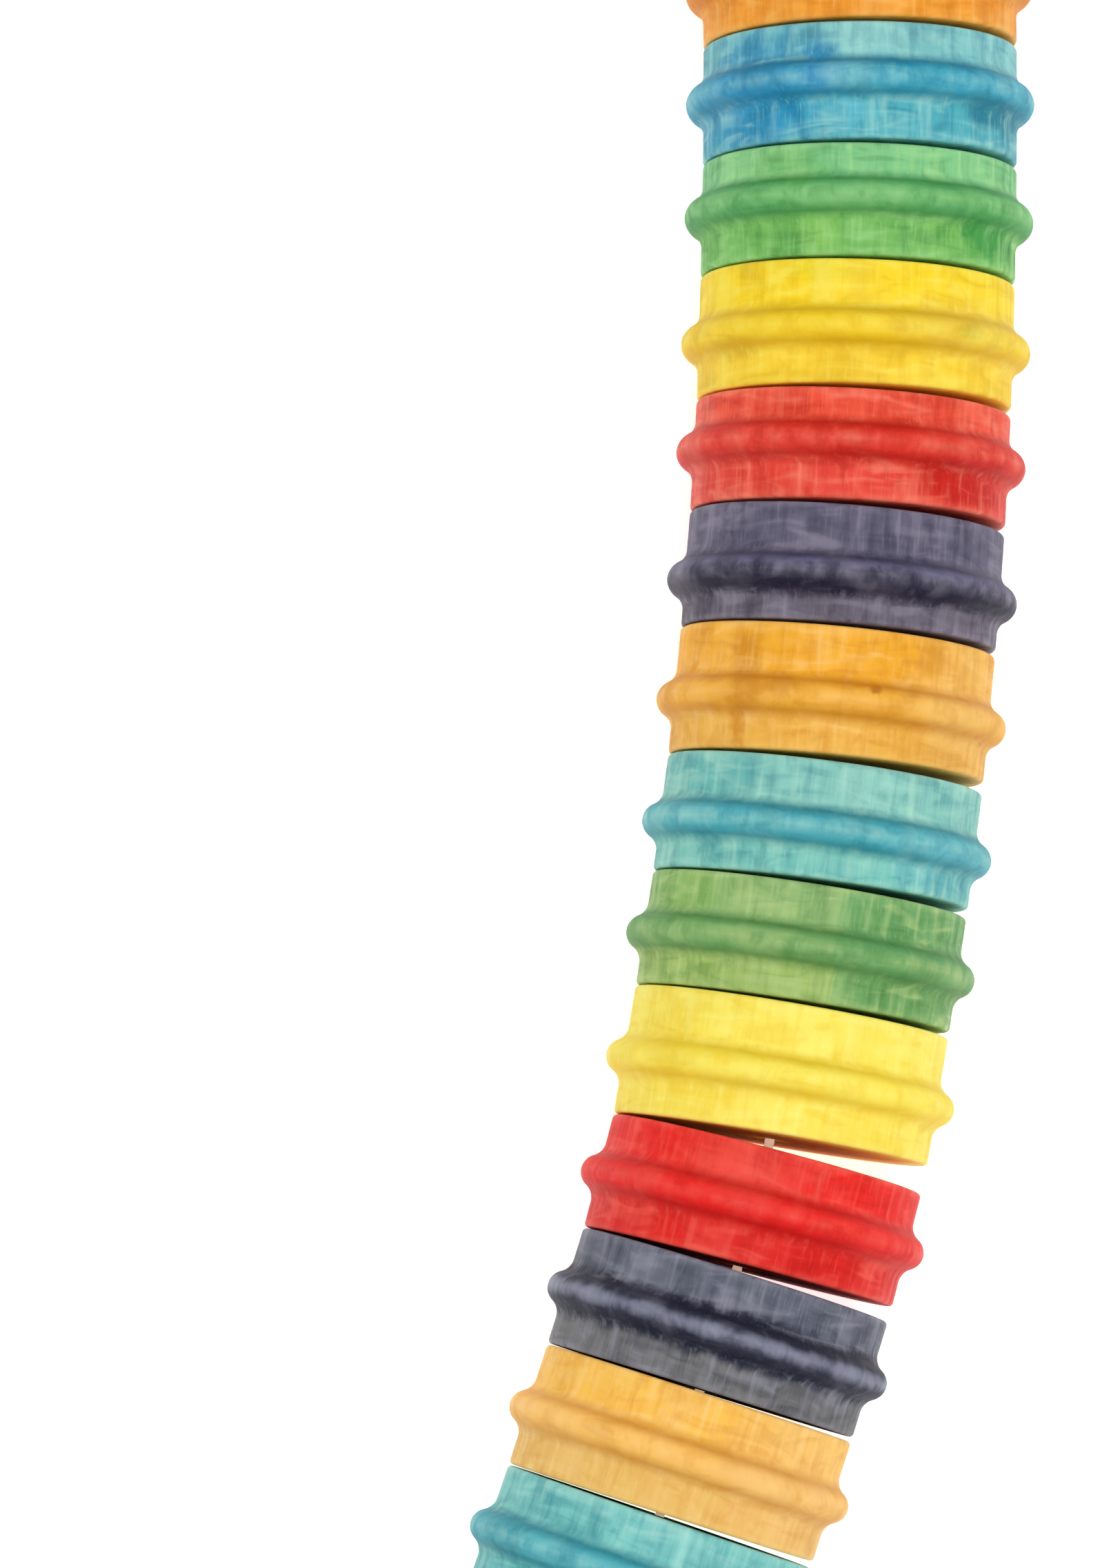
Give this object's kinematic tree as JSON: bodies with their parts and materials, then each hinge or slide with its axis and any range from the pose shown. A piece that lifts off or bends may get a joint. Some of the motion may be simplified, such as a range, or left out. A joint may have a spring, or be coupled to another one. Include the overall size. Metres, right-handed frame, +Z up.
{
  "type": "twisty snake puzzle",
  "caption": "Flexible toy snake of stained, turned wooden discs with a bead round each, strung on an elastic cord between a head and a tail.",
  "frame": {"origin": "on the table, under the middle of the snake's box", "axes": "+Z up from the table, +Y along the snake towards its head, -X towards the inside of its bend"},
  "size_m": [0.0882, 0.3784, 0.035],
  "materials": {
    "orange_stained_wood": "satin",
    "blue_stained_wood": "satin",
    "green_stained_wood": "satin",
    "yellow_stained_wood": "satin",
    "red_stained_wood": "satin",
    "navy_stained_wood": "satin",
    "plain_wood": "matte",
    "eye_pegs": "gloss",
    "cord": "matte"
  },
  "bodies": {
    "head": {"head": "navy_stained_wood", "head_bush": "plain_wood", "eye_inner": "eye_pegs", "eye_outer": "eye_pegs", "cord_head": "cord"},
    "cord_link_01": {"cord_01": "cord"},
    "disc_01": {"disc_01": "orange_stained_wood"},
    "cord_link_02": {"cord_02": "cord"},
    "disc_02": {"disc_02": "blue_stained_wood"},
    "cord_link_03": {"cord_03": "cord"},
    "disc_03": {"disc_03": "green_stained_wood"},
    "cord_link_04": {"cord_04": "cord"},
    "disc_04": {"disc_04": "yellow_stained_wood"},
    "cord_link_05": {"cord_05": "cord"},
    "disc_05": {"disc_05": "red_stained_wood"},
    "cord_link_06": {"cord_06": "cord"},
    "disc_06": {"disc_06": "navy_stained_wood"},
    "cord_link_07": {"cord_07": "cord"},
    "disc_07": {"disc_07": "orange_stained_wood"},
    "cord_link_08": {"cord_08": "cord"},
    "disc_08": {"disc_08": "blue_stained_wood"},
    "cord_link_09": {"cord_09": "cord"},
    "disc_09": {"disc_09": "green_stained_wood"},
    "cord_link_10": {"cord_10": "cord"},
    "disc_10": {"disc_10": "yellow_stained_wood"},
    "cord_link_11": {"cord_11": "cord"},
    "disc_11": {"disc_11": "red_stained_wood"},
    "cord_link_12": {"cord_12": "cord"},
    "disc_12": {"disc_12": "navy_stained_wood"},
    "cord_link_13": {"cord_13": "cord"},
    "disc_13": {"disc_13": "orange_stained_wood"},
    "cord_link_14": {"cord_14": "cord"},
    "disc_14": {"disc_14": "blue_stained_wood"},
    "cord_link_15": {"cord_15": "cord"},
    "disc_15": {"disc_15": "green_stained_wood"},
    "cord_link_16": {"cord_16": "cord"},
    "disc_16": {"disc_16": "yellow_stained_wood"},
    "cord_link_17": {"cord_17": "cord"},
    "disc_17": {"disc_17": "red_stained_wood"},
    "cord_link_18": {"cord_18": "cord"},
    "disc_18": {"disc_18": "navy_stained_wood"},
    "cord_link_19": {"cord_19": "cord"},
    "disc_19": {"disc_19": "orange_stained_wood"},
    "cord_link_20": {"cord_20": "cord"},
    "disc_20": {"disc_20": "blue_stained_wood"},
    "cord_link_21": {"cord_21": "cord"},
    "disc_21": {"disc_21": "green_stained_wood"},
    "cord_link_22": {"cord_22": "cord"},
    "disc_22": {"disc_22": "yellow_stained_wood"},
    "cord_link_23": {"cord_23": "cord"},
    "disc_23": {"disc_23": "red_stained_wood"},
    "cord_link_24": {"cord_24": "cord"},
    "disc_24": {"disc_24": "navy_stained_wood"},
    "cord_link_tail": {"cord_tail": "cord"},
    "tail": {"tail": "orange_stained_wood", "tail_bush": "plain_wood"}
  },
  "joints": [
    {"name": "bend_01", "type": "hinge", "parent": "head", "child": "cord_link_01", "pos_m": [-0.00092, 0.13833, 0.0175], "axis": [0, 0, -1], "range_deg": [-3.2, 6.8], "deforming": ["cord_01", "cord_head"]},
    {"name": "twist_01", "type": "hinge", "parent": "cord_link_01", "child": "disc_01", "pos_m": [0.01389, 0.14234, 0.0175], "axis": [-0.2656, 0.9641, 0], "continuous": true},
    {"name": "bend_02", "type": "hinge", "parent": "disc_01", "child": "cord_link_02", "pos_m": [0.00228, 0.12672, 0.0175], "axis": [0, 0, -1], "range_deg": [-2.4, 7.6], "deforming": ["cord_02", "cord_01"]},
    {"name": "twist_02", "type": "hinge", "parent": "cord_link_02", "child": "disc_02", "pos_m": [0.01725, 0.1301, 0.0175], "axis": [-0.225, 0.9744, 0], "continuous": true},
    {"name": "bend_03", "type": "hinge", "parent": "disc_02", "child": "cord_link_03", "pos_m": [0.00505, 0.11468, 0.0175], "axis": [0, 0, -1], "range_deg": [-2.9, 7.1], "deforming": ["cord_03", "cord_02"]},
    {"name": "twist_03", "type": "hinge", "parent": "cord_link_03", "child": "disc_03", "pos_m": [0.02018, 0.1173, 0.0175], "axis": [-0.1754, 0.9845, 0], "continuous": true},
    {"name": "bend_04", "type": "hinge", "parent": "disc_03", "child": "cord_link_04", "pos_m": [0.0071, 0.10321, 0.0175], "axis": [0, 0, -1], "range_deg": [-2.2, 7.8], "deforming": ["cord_04", "cord_03"]},
    {"name": "twist_04", "type": "hinge", "parent": "cord_link_04", "child": "disc_04", "pos_m": [0.02231, 0.10525, 0.0175], "axis": [-0.1374, 0.9905, 0], "continuous": true},
    {"name": "bend_05", "type": "hinge", "parent": "disc_04", "child": "cord_link_05", "pos_m": [0.00877, 0.09118, 0.0175], "axis": [0, 0, -1], "range_deg": [-2.6, 7.4], "deforming": ["cord_05", "cord_04"]},
    {"name": "twist_05", "type": "hinge", "parent": "cord_link_05", "child": "disc_05", "pos_m": [0.02406, 0.09252, 0.0175], "axis": [-0.0924, 0.9957, 0], "continuous": true},
    {"name": "bend_06", "type": "hinge", "parent": "disc_05", "child": "cord_link_06", "pos_m": [0.00992, 0.07878, 0.0175], "axis": [0, 0, -1], "range_deg": [-1.9, 8.1], "deforming": ["cord_06", "cord_05"]},
    {"name": "twist_06", "type": "hinge", "parent": "cord_link_06", "child": "disc_06", "pos_m": [0.02524, 0.07962, 0.0175], "axis": [-0.0593, 0.9982, 0], "continuous": true},
    {"name": "bend_07", "type": "hinge", "parent": "disc_06", "child": "cord_link_07", "pos_m": [0.01061, 0.06705, 0.0175], "axis": [0, 0, -1], "range_deg": [-1.4, 8.6], "deforming": ["cord_07", "cord_06"]},
    {"name": "twist_07", "type": "hinge", "parent": "cord_link_07", "child": "disc_07", "pos_m": [0.02596, 0.06751, 0.0175], "axis": [-0.0349, 0.9994, 0], "continuous": true},
    {"name": "bend_08", "type": "hinge", "parent": "disc_07", "child": "cord_link_08", "pos_m": [0.01104, 0.05491, 0.0175], "axis": [0, 0, -1], "range_deg": [-1, 9], "deforming": ["cord_08", "cord_07"]},
    {"name": "twist_08", "type": "hinge", "parent": "cord_link_08", "child": "disc_08", "pos_m": [0.02639, 0.0551, 0.0175], "axis": [-0.0175, 0.9998, 0], "continuous": true},
    {"name": "bend_09", "type": "hinge", "parent": "disc_08", "child": "cord_link_09", "pos_m": [0.01124, 0.04306, 0.0175], "axis": [0, 0, -1], "range_deg": [-1, 9], "deforming": ["cord_09", "cord_08"]},
    {"name": "twist_09", "type": "hinge", "parent": "cord_link_09", "child": "disc_09", "pos_m": [0.02659, 0.04299, 0.0175], "axis": [0, 1, 0], "continuous": true},
    {"name": "bend_10", "type": "hinge", "parent": "disc_09", "child": "cord_link_10", "pos_m": [0.01124, 0.03171, 0.0175], "axis": [0, 0, -1], "range_deg": [-0.7, 9.3], "deforming": ["cord_10", "cord_09"]},
    {"name": "twist_10", "type": "hinge", "parent": "cord_link_10", "child": "disc_10", "pos_m": [0.02659, 0.03145, 0.0175], "axis": [0.0122, 0.9999, 0], "continuous": true},
    {"name": "bend_11", "type": "hinge", "parent": "disc_10", "child": "cord_link_11", "pos_m": [0.01109, 0.01926, 0.0175], "axis": [0, 0, -1], "range_deg": [-1.3, 8.7], "deforming": ["cord_11", "cord_10"]},
    {"name": "twist_11", "type": "hinge", "parent": "cord_link_11", "child": "disc_11", "pos_m": [0.02643, 0.01865, 0.0175], "axis": [0.0349, 0.9994, 0], "continuous": true},
    {"name": "bend_12", "type": "hinge", "parent": "disc_11", "child": "cord_link_12", "pos_m": [0.0107, 0.00812, 0.0175], "axis": [0, 0, -1], "range_deg": [-1.4, 8.6], "deforming": ["cord_12", "cord_11"]},
    {"name": "twist_12", "type": "hinge", "parent": "cord_link_12", "child": "disc_12", "pos_m": [0.02602, 0.00713, 0.0175], "axis": [0.0593, 0.9982, 0], "continuous": true},
    {"name": "bend_13", "type": "hinge", "parent": "disc_12", "child": "cord_link_13", "pos_m": [0.01001, -0.00361, 0.0175], "axis": [0, 0, -1], "range_deg": [-0.9, 9.1], "deforming": ["cord_13", "cord_12"]},
    {"name": "twist_13", "type": "hinge", "parent": "cord_link_13", "child": "disc_13", "pos_m": [0.02531, -0.00484, 0.0175], "axis": [0.075, 0.9972, 0], "continuous": true},
    {"name": "bend_14", "type": "hinge", "parent": "disc_13", "child": "cord_link_14", "pos_m": [0.00905, -0.01632, 0.0175], "axis": [0, 0, -1], "range_deg": [-1.8, 8.2], "deforming": ["cord_14", "cord_13"]},
    {"name": "twist_14", "type": "hinge", "parent": "cord_link_14", "child": "disc_14", "pos_m": [0.02431, -0.01803, 0.0175], "axis": [0.1063, 0.9943, 0], "continuous": true},
    {"name": "bend_15", "type": "hinge", "parent": "disc_14", "child": "cord_link_15", "pos_m": [0.0078, -0.02801, 0.0175], "axis": [0, 0, -1], "range_deg": [-1.4, 8.6], "deforming": ["cord_15", "cord_14"]},
    {"name": "twist_15", "type": "hinge", "parent": "cord_link_15", "child": "disc_15", "pos_m": [0.02301, -0.03009, 0.0175], "axis": [0.1305, 0.9914, 0], "continuous": true},
    {"name": "bend_16", "type": "hinge", "parent": "disc_15", "child": "cord_link_16", "pos_m": [0.00629, -0.03946, 0.0175], "axis": [0, 0, -1], "range_deg": [-0.9, 9.1], "deforming": ["cord_16", "cord_15"]},
    {"name": "twist_16", "type": "hinge", "parent": "cord_link_16", "child": "disc_16", "pos_m": [0.02147, -0.04178, 0.0175], "axis": [0.1461, 0.9893, 0], "continuous": true},
    {"name": "bend_17", "type": "hinge", "parent": "disc_16", "child": "cord_link_17", "pos_m": [0.0044, -0.05227, 0.0175], "axis": [0, 0, -1], "range_deg": [-5, 5], "deforming": ["cord_17", "cord_16"]},
    {"name": "twist_17", "type": "hinge", "parent": "cord_link_17", "child": "disc_17", "pos_m": [0.01932, -0.0559, 0.0175], "axis": [0.2317, 0.9728, 0], "continuous": true},
    {"name": "bend_18", "type": "hinge", "parent": "disc_17", "child": "cord_link_18", "pos_m": [0.0017, -0.0636, 0.0175], "axis": [0, 0, -1], "range_deg": [-2.6, 7.4], "deforming": ["cord_18", "cord_17"]},
    {"name": "twist_18", "type": "hinge", "parent": "cord_link_18", "child": "disc_18", "pos_m": [0.01644, -0.06791, 0.0175], "axis": [0.2756, 0.9613, 0], "continuous": true},
    {"name": "bend_19", "type": "hinge", "parent": "disc_18", "child": "cord_link_19", "pos_m": [-0.00162, -0.07519, 0.0175], "axis": [0, 0, -1], "range_deg": [-0.6, 9.4], "deforming": ["cord_19", "cord_18"]},
    {"name": "twist_19", "type": "hinge", "parent": "cord_link_19", "child": "disc_19", "pos_m": [0.01307, -0.07964, 0.0175], "axis": [0.2857, 0.9583, 0], "continuous": true},
    {"name": "bend_20", "type": "hinge", "parent": "disc_19", "child": "cord_link_20", "pos_m": [-0.00518, -0.08712, 0.0175], "axis": [0, 0, -1], "range_deg": [-0.9, 9.1], "deforming": ["cord_20", "cord_19"]},
    {"name": "twist_20", "type": "hinge", "parent": "cord_link_20", "child": "disc_20", "pos_m": [0.00944, -0.0918, 0.0175], "axis": [0.3007, 0.9537, 0], "continuous": true},
    {"name": "bend_21", "type": "hinge", "parent": "disc_20", "child": "cord_link_21", "pos_m": [-0.00877, -0.09851, 0.0175], "axis": [0, 0, -1], "range_deg": [-2.9, 7.1], "deforming": ["cord_21", "cord_20"]},
    {"name": "twist_21", "type": "hinge", "parent": "cord_link_21", "child": "disc_21", "pos_m": [0.00559, -0.10394, 0.0175], "axis": [0.3486, 0.9373, 0], "continuous": true},
    {"name": "bend_22", "type": "hinge", "parent": "disc_21", "child": "cord_link_22", "pos_m": [-0.01304, -0.11, 0.0175], "axis": [0, 0, -1], "range_deg": [-3.6, 6.4], "deforming": ["cord_22", "cord_21"]},
    {"name": "twist_22", "type": "hinge", "parent": "cord_link_22", "child": "disc_22", "pos_m": [0.00095, -0.11631, 0.0175], "axis": [0.4067, 0.9135, 0], "continuous": true},
    {"name": "bend_23", "type": "hinge", "parent": "disc_22", "child": "cord_link_23", "pos_m": [-0.01778, -0.12064, 0.0175], "axis": [0, 0, -1], "range_deg": [-4, 6], "deforming": ["cord_23", "cord_22"]},
    {"name": "twist_23", "type": "hinge", "parent": "cord_link_23", "child": "disc_23", "pos_m": [-0.00426, -0.12791, 0.0175], "axis": [0.4695, 0.8829, 0], "continuous": true},
    {"name": "bend_24", "type": "hinge", "parent": "disc_23", "child": "cord_link_24", "pos_m": [-0.02358, -0.13154, 0.0175], "axis": [0, 0, -1], "range_deg": [-3, 7], "deforming": ["cord_24", "cord_23"]},
    {"name": "twist_24", "type": "hinge", "parent": "cord_link_24", "child": "disc_24", "pos_m": [-0.01046, -0.13951, 0.0175], "axis": [0.515, 0.8572, 0], "continuous": true},
    {"name": "bend_tail", "type": "hinge", "parent": "disc_24", "child": "cord_link_tail", "pos_m": [-0.02968, -0.1417, 0.0175], "axis": [0, 0, -1], "range_deg": [-2.2, 7.8], "deforming": ["cord_tail", "cord_24"]},
    {"name": "twist_tail", "type": "hinge", "parent": "cord_link_tail", "child": "tail", "pos_m": [-0.01688, -0.15017, 0.0175], "axis": [0.5476, 0.8368, 0], "continuous": true}
  ]
}
